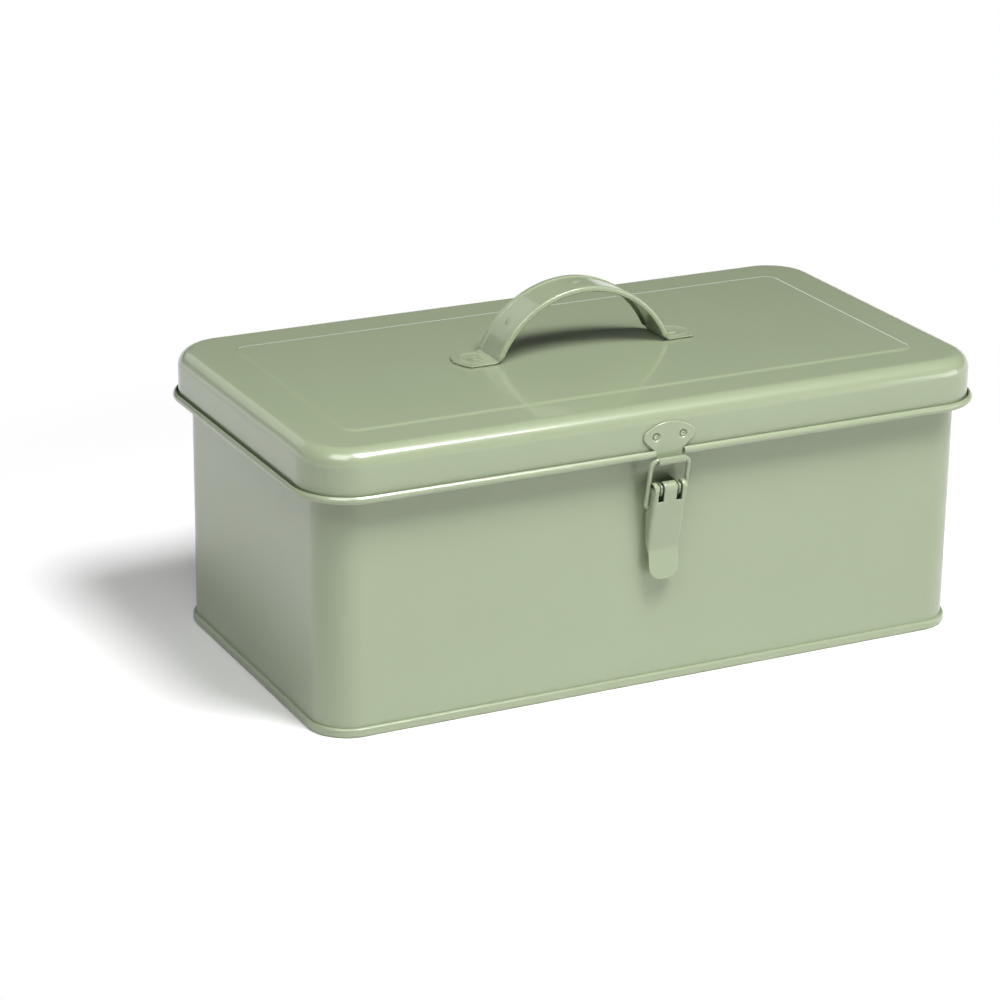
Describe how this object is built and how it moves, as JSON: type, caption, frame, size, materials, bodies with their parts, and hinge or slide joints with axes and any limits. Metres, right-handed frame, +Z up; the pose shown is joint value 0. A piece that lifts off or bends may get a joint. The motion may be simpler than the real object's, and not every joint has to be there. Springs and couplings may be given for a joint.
{
  "type": "seed organizer box",
  "caption": "Painted sheet-steel storage box with rounded corners, curled hinged lid, strap handle, front draw latch with wire bail, rear hinges and slotted dividers.",
  "frame": {"origin": "on the ground, in the middle of the case's footprint; the latch and hinges reach out to both sides of it", "axes": "+X along the length, to the right when seen from the latch side; -Y towards the front, the latch side; +Z up"},
  "size_m": [0.3374, 0.1844, 0.1628],
  "materials": {
    "sage_paint": "smooth gloss paint",
    "bare_steel": "plain drawn pin steel"
  },
  "bodies": {
    "case": {"body_wrapper": "sage_paint", "base_pan": "sage_paint", "long_divider": "sage_paint", "cross_divider_1": "sage_paint", "cross_divider_2": "sage_paint", "cross_divider_3": "sage_paint", "latch_base": "sage_paint", "latch_base_rivets": "sage_paint", "latch_pin": "bare_steel", "hinge_left_body_leaf": "sage_paint", "hinge_right_body_leaf": "sage_paint", "hinge_left_pin": "bare_steel", "hinge_right_pin": "bare_steel", "hinge_body_rivets": "sage_paint"},
    "lid": {"lid_shell": "sage_paint", "handle_strap": "sage_paint", "handle_rivets": "sage_paint", "strike_plate": "sage_paint", "strike_rivets": "sage_paint", "hinge_left_lid_leaf": "sage_paint", "hinge_right_lid_leaf": "sage_paint", "hinge_lid_rivets": "sage_paint"},
    "latch_lever": {"latch_lever": "sage_paint"},
    "latch_bail": {"latch_bail": "sage_paint"}
  },
  "joints": [
    {"name": "lid_hinge", "type": "hinge", "parent": "case", "child": "lid", "pos_m": [0, 0.08555, 0.106], "axis": [-1, 0, 0], "range_deg": [0, 105]},
    {"name": "latch_lever_pin", "type": "hinge", "parent": "case", "child": "latch_lever", "pos_m": [0, -0.0897, 0.0945], "axis": [-1, 0, 0], "range_deg": [0, 100]},
    {"name": "latch_bail_pivot", "type": "hinge", "parent": "latch_lever", "child": "latch_bail", "pos_m": [0, -0.0866, 0.0855], "axis": [1, 0, 0], "range_deg": [0, 160]}
  ],
  "couplings": [
    {"joint": "latch_bail_pivot", "follows": "latch_lever_pin", "ratio": 1.6}
  ]
}
